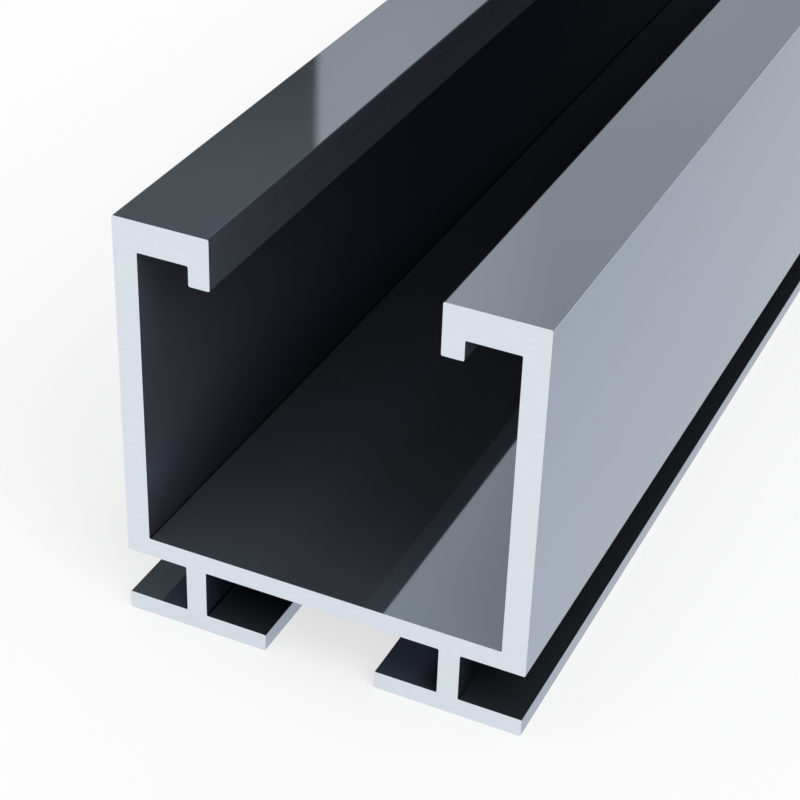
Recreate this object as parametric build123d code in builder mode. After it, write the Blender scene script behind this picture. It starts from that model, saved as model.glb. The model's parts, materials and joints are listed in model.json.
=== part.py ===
"""Solar mounting rail: one aluminium extrusion, cut square at both ends.

An open channel with two inward lips, each with a short hook turned down, stands on
two T-shaped feet. The rail rests on its feet at z = 0, its length runs along y and
its section is the same on both sides of x = 0.
"""

import os

from build123d import *

# Driving dimensions in millimetres

rail_length = 1200.0

# The channel
channel_width = 41.0
channel_height = 36.0
side_wall = 2.4
floor_thickness = 2.0
slot_width = 21.8

# The lips beside the slot and the hooks on their inner edges
lip_thickness = 3.1
hook_thickness = 2.1
hook_drop = 2.0

# The two feet under the channel
foot_width = 14.8
foot_thickness = 1.9
web_thickness = 2.1
web_height = 5.1

# The radius that the die leaves on every edge of the section
edge_radius = 0.15

# Heights above the surface that the feet stand on
foot_top = foot_thickness
channel_base = foot_top + web_height
channel_floor = channel_base + floor_thickness
channel_top = channel_base + channel_height
lip_underside = channel_top - lip_thickness

# Distances from the middle of the section
inner_half_width = channel_width / 2 - side_wall
hook_centre = slot_width / 2 + hook_thickness / 2
foot_centre = channel_width / 2 - foot_width / 2

upward = (Align.CENTER, Align.MIN)
downward = (Align.CENTER, Align.MAX)

with BuildPart() as rail:
    with BuildSketch(Plane.XZ) as section:
        # The channel as a block, hollowed up to the underside of its lips
        with Locations((0, channel_base)):
            Rectangle(channel_width, channel_height, align=upward)
        with Locations((0, channel_floor)):
            Rectangle(
                2 * inner_half_width,
                lip_underside - channel_floor,
                align=upward,
                mode=Mode.SUBTRACT,
            )

        # The slot that parts the two lips
        with Locations((0, lip_underside)):
            Rectangle(slot_width, lip_thickness, align=upward, mode=Mode.SUBTRACT)

        # A hook under the inner edge of each lip
        with Locations((-hook_centre, lip_underside), (hook_centre, lip_underside)):
            Rectangle(hook_thickness, hook_drop, align=downward)

        # A foot flush with each outer side, on a web along the foot's middle
        with Locations((-foot_centre, 0), (foot_centre, 0)):
            Rectangle(foot_width, foot_thickness, align=upward)
        with Locations((-foot_centre, foot_top), (foot_centre, foot_top)):
            Rectangle(web_thickness, web_height, align=upward)

        fillet(section.vertices(), radius=edge_radius)
    extrude(amount=rail_length / 2, both=True)

rail.part.label = "rail"

os.makedirs("parts", exist_ok=True)
export_step(rail.part, "parts/rail.step")

print("rail volume in cubic centimetres:", round(rail.part.volume / 1000, 2))
print("rail size:", rail.part.bounding_box().size)
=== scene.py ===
# %% [markdown]
# # A solar mounting rail
#
# The real rail is one aluminium extrusion. A press pushes hot metal through a die
# that has the section cut in it, the bar is stretched straight and anodised, and a
# saw cuts it square. So there is one piece to dress, and it already has its right
# shape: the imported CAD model. What Blender adds is the metal itself, the marks that
# the die and the saw leave in it, and a studio for it to mirror.

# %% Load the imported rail
import json
from math import cos, pi, radians, sin

import bmesh
import bpy
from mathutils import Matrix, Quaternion, Vector


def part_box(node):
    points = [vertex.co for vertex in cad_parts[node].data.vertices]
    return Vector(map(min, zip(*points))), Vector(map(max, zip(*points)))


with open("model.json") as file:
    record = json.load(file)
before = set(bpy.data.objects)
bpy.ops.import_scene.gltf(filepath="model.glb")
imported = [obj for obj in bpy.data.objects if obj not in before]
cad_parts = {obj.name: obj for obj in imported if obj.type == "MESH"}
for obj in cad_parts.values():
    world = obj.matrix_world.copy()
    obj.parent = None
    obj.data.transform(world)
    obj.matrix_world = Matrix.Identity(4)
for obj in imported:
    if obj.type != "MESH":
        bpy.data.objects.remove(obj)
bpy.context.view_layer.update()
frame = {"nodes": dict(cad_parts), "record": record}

rail = frame["nodes"]["rail"]
rail_low, rail_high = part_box("rail")
rail_length = rail_high.y - rail_low.y
near_end = Vector((0, rail_low.y, 0))
print("rail", round(rail_length, 3), "m long, near end at y =", round(near_end.y, 3))

# %% [markdown]
# ## The camera
#
# The photograph looks down on the near sawn end from its right, from so close that
# the long edges run together fast. The focal length, the place and the angles were
# found by matching the section, as it is built, to its straight edges in the
# photograph, with the optical axis through the middle of the picture. Most corners
# match to about a pixel, but three near the outer end of the right foot and three on
# the left side are 2 to 4 pixels off. A bearing of zero would look straight along
# the rail.

# %% Stand the camera where the photograph was taken
picture_side_px = 800
focal_length_px = 2076.6
camera_from_near_end = Vector((0.0673, -0.1339, 0.1280))
camera_bearing = radians(24.115)
camera_elevation = radians(33.082)
camera_roll = radians(2.013)

camera_data = bpy.data.cameras.new("camera")
camera_data.lens = camera_data.sensor_width * focal_length_px / picture_side_px
camera_data.clip_start = 0.01
camera = bpy.data.objects.new("camera", camera_data)
bpy.context.scene.collection.objects.link(camera)
bpy.context.scene.camera = camera


def from_bearing(bearing, elevation):
    """A unit vector that rises to this elevation, turned to the right of -y."""
    return Vector((
        sin(bearing) * cos(elevation),
        -cos(bearing) * cos(elevation),
        sin(elevation),
    ))


backwards = from_bearing(camera_bearing, camera_elevation)
camera.rotation_mode = "QUATERNION"
camera.location = near_end + camera_from_near_end
camera.rotation_quaternion = (
    (-backwards).to_track_quat("-Z", "Y") @ Quaternion((0, 0, 1), camera_roll)
)
print("camera at", [round(v, 3) for v in camera.location], "lens", round(camera_data.lens, 1), "mm")

# %% [markdown]
# ## Helpers for meshes and shader nodes
#
# The floor and the dome round the rail are the only new meshes, each from one
# bmesh operator. The materials are mostly sums on masks, which are numbers from 0
# to 1 that say how far a point lies in some place. Each kind of node gets one short
# function, so that a formula stays readable: `add_node` makes a node and sets or
# links its inputs, `compute` does a sum, and `product` combines masks.

# %% Make objects and materials
def object_from(bm, name):
    """Turns a finished bmesh into an object at the origin."""
    mesh = bpy.data.meshes.new(name)
    bm.to_mesh(mesh)
    bm.free()
    made = bpy.data.objects.new(name, mesh)
    bpy.context.scene.collection.objects.link(made)
    return made


def new_material(name):
    """A material with an empty node tree, and that tree."""
    material = bpy.data.materials.new(name)
    material.use_nodes = True
    material.node_tree.nodes.clear()
    return material, material.node_tree


# %% Make nodes and sums
def feed(tree, socket, value):
    """Links another node's output to a socket, or sets the socket to a value."""
    if isinstance(value, bpy.types.NodeSocket):
        tree.links.new(value, socket)
    else:
        socket.default_value = value


def add_node(tree, kind, settings=None, **inputs):
    """A shader node; each input is a value or another node's output socket."""
    node = tree.nodes.new("ShaderNode" + kind)
    for name, value in (settings or {}).items():
        setattr(node, name, value)
    for name, value in inputs.items():
        feed(tree, node.inputs[name.replace("_", " ")], value)
    return node


def compute(tree, operation, *values):
    """A Math node on one to three numbers or sockets, and its result."""
    node = add_node(tree, "Math", {"operation": operation})
    for socket, value in zip(node.inputs, values):
        feed(tree, socket, value)
    return node.outputs["Value"]


def product(tree, first, *others):
    """Masks multiplied together: 1 where all of them are 1."""
    for other in others:
        first = compute(tree, "MULTIPLY", first, other)
    return first


# %% Tell the rays that see from the rays that light
def seen_share(tree):
    """1 for camera, glossy and transmitted rays, and 0 for the rays that light things."""
    light_path = add_node(tree, "LightPath")
    seen = compute(tree, "ADD", light_path.outputs["Is Camera Ray"], light_path.outputs["Is Glossy Ray"])
    return compute(tree, "ADD", seen, light_path.outputs["Is Transmission Ray"])


white = (1, 1, 1, 1)

# %% [markdown]
# ## The floor
#
# A plain pale floor carries the rail's soft shadow. It is a single face, large
# enough that its far edge lies close to the horizon. To the camera and to the metal
# most of its tone is a plain white of its own, so it looks nearly as white as the
# photograph's background. The rest is lit, which keeps the shadow, but a pale one.

# %% Lay the floor
floor_half_side = 40.0
floor_colour = (0.98, 0.98, 0.98, 1)
floor_own_white = 0.7

bm = bmesh.new()
bmesh.ops.create_grid(bm, x_segments=1, y_segments=1, size=floor_half_side)
floor = object_from(bm, "floor")

floor_paint, tree = new_material("floor_paint")
lit = add_node(tree, "BsdfDiffuse", Color=floor_colour)
own_white = add_node(tree, "Emission", Color=white, Strength=1.0)
whitened = add_node(tree, "MixShader", Fac=product(tree, seen_share(tree), floor_own_white))
for socket, shader in zip(list(whitened.inputs)[1:], (lit.outputs["BSDF"], own_white.outputs["Emission"])):
    feed(tree, socket, shader)
add_node(tree, "OutputMaterial", Surface=whitened.outputs["Shader"])
floor.data.materials.append(floor_paint)
print("floor", 2 * floor_half_side, "m wide")

# %% [markdown]
# ## The studio light
#
# An even world and two broad, soft lamps light the floor to about its own colour:
# one from the front right, and one from above. The metal doesn't mirror the lamps,
# because it has the cards of the next step to mirror. Camera, glossy and
# transmitted rays see the world as plain white, but the dome of the next step hides
# it from the metal. The world is reached by the rays that leave a surface, and isn't
# sampled as a lamp, so those different brightnesses stay apart.

# %% Go between two numbers
def mix(tree, share, first, second):
    """A number between two numbers."""
    return add_node(tree, "Mix", Factor=share, A=first, B=second).outputs["Result"]


# %% Light the studio
world_light = 0.48
# Strength, softness, bearing and elevation of each lamp
lamps = {
    "key_light": (1.20, radians(35), radians(60), radians(42)),
    "top_light": (0.70, radians(50), radians(60), radians(85)),
}

world = bpy.data.worlds.new("studio_world")
world.use_nodes = True
tree = world.node_tree
tree.nodes.clear()
brightness = mix(tree, seen_share(tree), world_light, 1.0)
background = add_node(tree, "Background", Color=white, Strength=brightness)
add_node(tree, "OutputWorld", Surface=background.outputs["Background"])
world.cycles.sampling_method = "NONE"
bpy.context.scene.world = world

floor_light = world_light
for name, (strength, softness, lamp_bearing, lamp_elevation) in lamps.items():
    lamp_data = bpy.data.lights.new(name, "SUN")
    lamp_data.energy = strength
    lamp_data.angle = softness
    lamp = bpy.data.objects.new(name, lamp_data)
    lamp.visible_glossy = False
    lamp.rotation_mode = "QUATERNION"
    lamp.rotation_quaternion = from_bearing(lamp_bearing, lamp_elevation).to_track_quat("Z", "Y")
    bpy.context.scene.collection.objects.link(lamp)
    floor_light += strength * sin(lamp_elevation) / pi
print("light on the floor", round(floor_light, 2))

# %% [markdown]
# ## The cards that the metal mirrors
#
# Bright metal has hardly a tone of its own: it shows what stands around it. With
# white on all sides it would look like paper, so a photographer stands grey cards
# round it and leaves dark gaps between them. The cards could be planes, but here
# they are one dome that only glossy rays see, so that their edges and tones are
# plain values. It is so large that a card keeps its bearing, within a degree, along
# the whole rail. Each card is lighter towards its foot, and the one behind the rail
# has a soft glow, like a lamp's, near its left edge. That edge is the step in tone on
# the left lip. A pale skirting runs round the foot of the dome, so that a rounded
# edge, which mirrors everything from the sky to the floor, isn't a black wire.
# What stood round the real rail isn't known: the cards were placed and toned until
# the render came close to the photograph.

# %% Work with vectors, ranges and colours
def transform(tree, operation, *vectors, output="Vector"):
    """A Vector Math node on vectors or sockets, and its result."""
    node = add_node(tree, "VectorMath", {"operation": operation})
    for socket, value in zip(node.inputs, vectors):
        feed(tree, socket, value)
    return node.outputs[output]


def remap(tree, value, low, high, to_low, to_high):
    """Maps value from low..high to to_low..to_high and stops at both ends."""
    node = add_node(
        tree, "MapRange", Value=value,
        From_Min=low, From_Max=high, To_Min=to_low, To_Max=to_high,
    )
    return node.outputs["Result"]


def blend(tree, share, first, second, way="MIX"):
    """A colour between two colours. Mix has a set of sockets for each type of data."""
    node = add_node(tree, "Mix", {"data_type": "RGBA", "blend_type": way})
    sockets = {socket.identifier: socket for socket in node.inputs}
    feed(tree, sockets["Factor_Float"], share)
    feed(tree, sockets["A_Color"], first)
    feed(tree, sockets["B_Color"], second)
    return next(output for output in node.outputs if output.identifier == "Result_Color")


# %% Choose the tones of the dome
dome_radius = 80.0
dome_segments = 64
card_edge = radians(0.13)
# Bearing of each card's middle and half its width
cards = (
    (radians(-7.96), radians(18.96)),
    (radians(-85), radians(32)),
    (radians(78), radians(32)),
    (radians(176), radians(38)),
)
# A rise is the sine of an elevation: 0 on the horizon and 1 overhead
card_rises = (0.38, 0.52)
card_tones = (0.592, 0.467)
card_tint = (1.0, 0.985, 0.965, 1)
glow = 0.165
glow_centre = (radians(-24.5), 0.52, 0)
glow_reach = (radians(5.3), 0.15, 1)
# Tones of the gaps on the left and on the right, and where on x one turns into the other
gap_tones = (0.11, 0.02)
gap_turn = (-0.4, 0.1)
gap_tint = (0.95, 1.10, 1.05, 1)
gap_foot_share = 0.42
gap_foot_rises = (0.41, 0.452)
skirting_light = 0.50
skirting_rises = (0.20, 0.30)
overhead_light = 0.9
overhead_rises = (0.80, 0.90)
print("cards from", card_tones[1], "to", card_tones[0] + glow, "and gaps of", gap_tones)

# %% Hang the tones of the dome
dome_cloth, tree = new_material("dome_cloth")
from_rail = transform(tree, "SUBTRACT", add_node(tree, "TexCoord").outputs["Object"], near_end)
direction = add_node(tree, "SeparateXYZ", Vector=transform(tree, "NORMALIZE", from_rail))
rise = direction.outputs["Z"]
bearing = compute(tree, "ARCTAN2", direction.outputs["X"], direction.outputs["Y"])

on_card = 0.0
for card_middle, half_width in cards:
    facing_card = compute(tree, "COSINE", compute(tree, "SUBTRACT", bearing, card_middle))
    mask = remap(tree, facing_card, cos(half_width + card_edge), cos(half_width - card_edge), 0, 1)
    on_card = compute(tree, "ADD", on_card, mask)

aim = add_node(tree, "CombineXYZ", X=bearing, Y=rise).outputs["Vector"]
aim = transform(tree, "DIVIDE", transform(tree, "SUBTRACT", aim, glow_centre), glow_reach)
from_glow = transform(tree, "DOT_PRODUCT", aim, aim, output="Value")
card_tone = compute(
    tree, "ADD",
    remap(tree, rise, *card_rises, *card_tones),
    remap(tree, from_glow, 0, 1, glow, 0),
)
gap_tone = product(
    tree,
    remap(tree, direction.outputs["X"], *gap_turn, *gap_tones),
    remap(tree, rise, *gap_foot_rises, gap_foot_share, 1),
)
tone = mix(tree, on_card, gap_tone, card_tone)
tone = mix(tree, remap(tree, rise, *skirting_rises, 1, 0), tone, skirting_light)
tone = mix(tree, remap(tree, rise, *overhead_rises, 0, 1), tone, overhead_light)
cloth_tint = blend(tree, on_card, gap_tint, card_tint)
emission = add_node(tree, "Emission", Color=cloth_tint, Strength=tone)
add_node(tree, "OutputMaterial", Surface=emission.outputs["Emission"])
dome_cloth.cycles.emission_sampling = "NONE"
print(len(cards), "cards, the dome's tone made with", len(tree.nodes), "nodes")

# %% Stand the dome round the rail
bm = bmesh.new()
bmesh.ops.create_uvsphere(bm, u_segments=dome_segments, v_segments=dome_segments // 2, radius=dome_radius)
dome = object_from(bm, "reflection_dome")
dome.visible_camera = False
dome.visible_diffuse = False
dome.visible_transmission = False
dome.visible_shadow = False
dome.visible_volume_scatter = False
dome.data.materials.append(dome_cloth)
print("dome of", dome_radius, "m, seen by glossy rays:", dome.visible_glossy)

# %% [markdown]
# ## Which way the metal faces, and how deep in it lies
#
# One material covers the rail, because it is one metal, but its skin differs from
# place to place. Each place is worked out from the part itself and not painted by
# hand. The sawn ends face along y. The rounded edges that the die leaves are the
# only faces that look both sideways and up or down. The channel and the grooves get
# a painted shade that darkens the further one looks in, so depth is the distance
# from the nearer sawn end, turned into a share that grows quickly at first.

# %% Find the faces and the depth
sawn_limits = (0.6, 0.8)
edge_limits = (0.02, 0.15)
level_limits = (0, 0.8)


def rest(tree, share):
    """The other part of a share."""
    return compute(tree, "SUBTRACT", 1, share)


metal, tree = new_material("anodised_aluminium")
coordinates = add_node(tree, "TexCoord")
facing = add_node(tree, "SeparateXYZ", Vector=coordinates.outputs["Normal"])
place = add_node(tree, "SeparateXYZ", Vector=coordinates.outputs["Object"])
across = compute(tree, "ABSOLUTE", place.outputs["X"])
height = place.outputs["Z"]

sawn = remap(tree, compute(tree, "ABSOLUTE", facing.outputs["Y"]), *sawn_limits, 0, 1)
slant = product(tree, facing.outputs["X"], facing.outputs["Z"])
rounded = remap(tree, compute(tree, "ABSOLUTE", slant), *edge_limits, 0, 1)
level_up = product(tree, remap(tree, facing.outputs["Z"], *level_limits, 0, 1), rest(tree, rounded))
level_down = remap(tree, compute(tree, "MULTIPLY", facing.outputs["Z"], -1), *level_limits, 0, 1)
depth = compute(tree, "SUBTRACT", rail_length / 2, compute(tree, "ABSOLUTE", place.outputs["Y"]))


def depth_share(fade):
    """0 at the sawn end, and nearer to 1 the deeper in; fade is the depth of two thirds."""
    return rest(tree, compute(tree, "EXPONENT", compute(tree, "DIVIDE", depth, -fade)))


print("depth runs from 0 to", round(rail_length / 2, 3), "m")

# %% [markdown]
# ## Where the channel, the throat and the grooves are
#
# The part's record names each opening and gives its box, and the masks are worked
# out from these boxes. A wall lies just outside the box of its opening, and a
# small clearance takes it in. The throat is the slot between the two lips, and the
# channel reaches up behind their hooks to the undersides of the lips. How thick a
# lip is isn't in the record, so that one size is repeated here. A groove's faces
# are the tops of the feet, and the webs with the undersides above them. The slot
# sides are the faces of the feet across the base slot.

# %% Find the places
lip_thickness = 0.0031
mask_edge = 0.0001
wall_clearance = 0.0003

openings = {opening["name"]: opening["box_m"] for opening in frame["record"]["physics"]["openings"]}
channel_low, channel_high = openings["channel"]
groove_low, groove_high = openings["base_groove"]
slot_half_width = openings["lip_slot"][1][0]
base_slot_half_width = openings["base_slot"][1][0]


def below(value, limit):
    """1 under the limit and 0 over it."""
    return remap(tree, value, limit, limit + mask_edge, 1, 0)


def above(value, limit):
    """1 over the limit and 0 under it."""
    return remap(tree, value, limit - mask_edge, limit, 0, 1)


in_throat = product(
    tree,
    below(across, slot_half_width + wall_clearance),
    above(height, channel_high[2]),
)
in_channel = product(
    tree,
    below(across, channel_high[0] + wall_clearance),
    above(height, channel_low[2] - wall_clearance),
    below(height, rail_high.z - lip_thickness + wall_clearance),
    rest(tree, in_throat),
)
in_groove = product(
    tree,
    above(height, groove_low[2] - mask_edge),
    below(height, groove_high[2] + mask_edge),
)
on_floor = product(tree, in_channel, level_up)
on_walls = product(tree, in_channel, rest(tree, level_up))
on_foot = product(tree, in_groove, level_up)
on_webs = product(tree, in_groove, rest(tree, level_up))
on_side = above(across, rail_high.x - mask_edge)
on_slot_side = product(
    tree,
    below(across, base_slot_half_width + wall_clearance),
    below(height, groove_low[2] - wall_clearance),
)
print("channel", round(2 * channel_high[0], 4), "m wide inside, slot", round(2 * slot_half_width, 4), "m")

# %% [markdown]
# ## Die lines and saw marks
#
# Every flaw of the die is drawn out along the whole bar, so the drawn skin has very
# faint straight lines: noise stretched along y, fine lines over broad bands. The
# saw's teeth leave shallow arcs about the blade's far-off centre, and the torn
# metal between them is a fine mottle. A ring wave and a plain noise give the two.

# %% Draw the lines and the marks
line_width, line_detail = 0.0004, 3.0
band_width, band_detail = 0.006, 2.0
line_length = 0.7
blade_radius = 0.15
blade_centre = Vector((0.04, 0, rail_high.z / 2 - blade_radius))
tooth_pitch = 0.0007
# Blender's Wave texture takes the sine of 20 times the distance
wave_factor = 20
ring_wobble, ring_detail, ring_detail_scale = 6.0, 3.0, 0.25
mottle_scale, mottle_detail = 900.0, 4.0
mottle_share = 0.85


def along_rail(width, detail):
    """Noise that makes lines of this width along y."""
    stretched = transform(tree, "DIVIDE", coordinates.outputs["Object"], (width, line_length, width))
    return add_node(tree, "TexNoise", Vector=stretched, Scale=1.0, Detail=detail).outputs["Fac"]


fine_lines = along_rail(line_width, line_detail)
broad_bands = along_rail(band_width, band_detail)
from_blade = transform(tree, "SUBTRACT", coordinates.outputs["Object"], blade_centre)
rings = add_node(
    tree, "TexWave", {"wave_type": "RINGS", "rings_direction": "SPHERICAL"},
    Vector=transform(tree, "MULTIPLY", from_blade, (1, 0, 1)),
    Scale=2 * pi / wave_factor / tooth_pitch,
    Distortion=ring_wobble, Detail=ring_detail, Detail_Scale=ring_detail_scale,
).outputs["Fac"]
mottle = add_node(
    tree, "TexNoise", Vector=coordinates.outputs["Object"],
    Scale=mottle_scale, Detail=mottle_detail,
).outputs["Fac"]
saw_marks = mix(tree, mottle_share, rings, mottle)
print("saw marks", tooth_pitch * 1000, "mm apart, die lines", line_width * 1000, "mm wide")

# %% [markdown]
# ## The tone of the metal
#
# The skin is a cool grey, in slightly different broad bands. Each place multiplies
# it by a tint of its own, where 1 changes nothing, and these tints are painted shade
# and painted light. In the photograph the walls, the webs and the undersides are
# darker the deeper they lie, and darkest at the foot of a wall and in the creases.
# On real metal that comes from what it mirrors, which the photograph doesn't show.
# Here painted shade by depth stands for it, with more painted shade on the channel's
# floor, in the grooves, at the foot of each wall and on the rounded edges inside, and
# a slight violet hue on the walls. The tints belong to the metal, so they stay in
# place when the view changes, and they were tuned by comparing the render with the
# photograph. The outer sides have painted light at the foot and painted shade
# towards the lips, so they get darker towards the lips. The rounded outer edges
# mirror a dark gap of the dome, and the sides of the base slot mirror the floor's
# shadow. Both came out darker than in the photograph, so two tints of painted light
# even that out. The saw has cut through the skin, so the sawn ends are pale clean
# metal.

# %% Choose the tones
drawn_colours = ((0.39, 0.445, 0.53, 1), (0.37, 0.425, 0.51, 1))
sawn_colours = ((0.775, 0.828, 0.89, 1), (0.745, 0.80, 0.862, 1))
# Painted shade that deepens with depth: on the channel's walls, then on the webs and undersides of the
# grooves
channel_shade_tint = (0.20, 0.175, 0.26, 1)
groove_shade_tint = (0.155, 0.125, 0.155, 1)
# Painted shade: a slight violet hue on the channel's walls, a darker channel floor, and darker grooves
wall_painted_shade_hue = (1.06, 0.98, 0.99, 1)
channel_floor_painted_shade_tint = (0.88, 0.895, 0.88, 1)
groove_painted_shade_tint = (0.70, 0.735, 0.73, 1)
# Painted shade at the foot of each channel wall
corner_painted_shade_tint = (0.4, 0.4, 0.42, 1)
# Painted shade on the rounded edges inside the channel, the throat and the grooves, and more in the
# grooves
crease_painted_shade_tint = (0.3, 0.3, 0.32, 1)
groove_crease_painted_shade_tint = (0.25, 0.25, 0.27, 1)
# Painted light on the rounded outer edges, which mirror a dark gap of the dome
outer_edge_painted_light_tint = (1.46, 1.43, 1.38, 1)
# Painted light at the foot of the outer sides and painted shade towards the lips
side_foot_painted_light_tint = (1.175, 1.18, 1.22, 1)
side_lip_painted_shade_tint = (0.91, 0.93, 0.955, 1)
# Painted light on the sides of the base slot, which mirror the floor's shadow
slot_side_painted_light_tint = (1.22, 1.22, 1.22, 1)
print("skin", drawn_colours[0][:3], "and sawn ends", sawn_colours[0][:3])

# %% Colour the metal
channel_fade = 0.035
groove_fade = 0.012
# Share of painted shade on the faces in the grooves that look down
underside_painted_shade_share = 0.95
# How high the painted shade at the foot of a wall reaches at the mouth, and deep in
corner_reach = (0.008, 0.020)

channel_depth = depth_share(channel_fade)
groove_depth = depth_share(groove_fade)
# Painted shade by depth on the channel's walls, and on the webs and undersides of the grooves
channel_shade = product(tree, on_walls, channel_depth)
groove_shade = product(
    tree, on_webs,
    compute(tree, "MAXIMUM", groove_depth, product(tree, level_down, underside_painted_shade_share)),
)
# Painted shade at the foot of the channel's walls, reaching higher deeper in
shade_top = mix(tree, channel_depth, *(channel_low[2] + reach for reach in corner_reach))
wall_foot_painted_shade = product(tree, on_walls, remap(tree, height, channel_low[2], shade_top, 1, 0))
inside = compute(tree, "MAXIMUM", in_channel, compute(tree, "MAXIMUM", in_throat, in_groove))
# Share up the outer sides, for their painted light and shade
up_side = remap(tree, height, channel_low[2], rail_high.z, 0, 1)

# Each mask with its tint: all of them are painted shade and painted light on the skin
tints = (
    (channel_shade, channel_shade_tint),
    (groove_shade, groove_shade_tint),
    (on_walls, wall_painted_shade_hue),
    (on_floor, channel_floor_painted_shade_tint),
    (in_groove, groove_painted_shade_tint),
    (wall_foot_painted_shade, corner_painted_shade_tint),
    (product(tree, rounded, inside), crease_painted_shade_tint),
    (product(tree, rounded, in_groove), groove_crease_painted_shade_tint),
    (product(tree, rounded, rest(tree, inside)), outer_edge_painted_light_tint),
    (on_side, blend(tree, up_side, side_foot_painted_light_tint, side_lip_painted_shade_tint)),
    (on_slot_side, slot_side_painted_light_tint),
)
drawn_tone = blend(tree, broad_bands, *drawn_colours)
for share, tint in tints:
    drawn_tone = blend(tree, share, drawn_tone, tint, "MULTIPLY")
colour = blend(tree, sawn, drawn_tone, blend(tree, saw_marks, *sawn_colours))
print(len(tints), "tints on the skin")

# %% [markdown]
# ## The gloss and the haze
#
# The drawn skin is a near mirror. Inside, the channel's walls, the webs and the
# undersides lose their gloss over the first centimetre or two, while the channel's
# floor and the tops of the feet keep it. The rounded edges and the sawn ends are
# satin, so that the edges don't show as bright wires. A perfect mirror would look
# like chrome: the clear film on real anodised metal scatters a little of the light.
# So a small share of the surface, the haze, is left matt by a metallic value under
# one. Each place inside has a haze for its mouth, one for deep in, and a fade
# between them.

# %% Set the gloss
gloss_fade = 0.008
texture_limits = (0.3, 0.7)
drawn_roughness = (0.025, 0.04)
# Under 0.27 the denoiser still takes the wall for a mirror, so it draws no line across it
deep_roughness = 0.265
edge_roughness = 0.35
sawn_roughness = (0.32, 0.40)

matt = compute(tree, "MAXIMUM", groove_shade, product(tree, on_walls, depth_share(gloss_fade)))
roughness = remap(tree, fine_lines, *texture_limits, *drawn_roughness)
roughness = mix(tree, matt, roughness, deep_roughness)
roughness = mix(tree, rounded, roughness, edge_roughness)
roughness = mix(tree, sawn, roughness, remap(tree, saw_marks, *texture_limits, *sawn_roughness))
print("roughness from", drawn_roughness[0], "to", sawn_roughness[1])

# %% Set the haze
throat_fade = 0.020
floor_fade = 0.045
web_fade = 0.006
film_haze = 0.09
throat_haze = (0.135, 0.055)
wall_haze = (0.125, 0.01)
floor_haze = (0.113, 0.01)
web_haze = (0.070, 0.0)
foot_haze = (0.075, 0.06)

hazes = (
    (in_throat, throat_fade, throat_haze),
    (on_walls, channel_fade, wall_haze),
    (on_floor, floor_fade, floor_haze),
    (on_webs, web_fade, web_haze),
    (on_foot, groove_fade, foot_haze),
)
haze = film_haze
for share, fade, values in hazes:
    haze = mix(tree, share, haze, mix(tree, depth_share(fade), *values))
print("haze", film_haze, "outside, and up to", max(max(values) for _, _, values in hazes), "inside")

# %% [markdown]
# ## Anodised aluminium
#
# One Principled shader puts the tone, the gloss, the haze and the marks together.
# The marks are so shallow that bump is enough: a tenth of a micrometre for the die
# lines, and a few micrometres for the saw. The specular tint sets how much lighter
# the metal gets where one looks along it, which is less than bare metal does.

# %% Finish the metal
line_relief = 1e-7
saw_relief = 4e-6
glance_tint = (0.70, 0.70, 0.70, 1)

relief = mix(tree, sawn, product(tree, fine_lines, line_relief), product(tree, saw_marks, saw_relief))
bump = add_node(tree, "Bump", Strength=1.0, Distance=1.0, Height=relief)
shader = add_node(
    tree, "BsdfPrincipled",
    Base_Color=colour, Roughness=roughness, Metallic=rest(tree, haze),
    Normal=bump.outputs["Normal"], Specular_Tint=glance_tint,
)
add_node(tree, "OutputMaterial", Surface=shader.outputs["BSDF"])

rail.data.materials.clear()
rail.data.materials.append(metal)
print("finish", metal.name, "with", len(tree.nodes), "nodes")

# %% [markdown]
# ## Set the view
#
# The view transform is set so that a colour renders as it is written.

# %% Set the view transform
bpy.context.scene.view_settings.view_transform = "Standard"
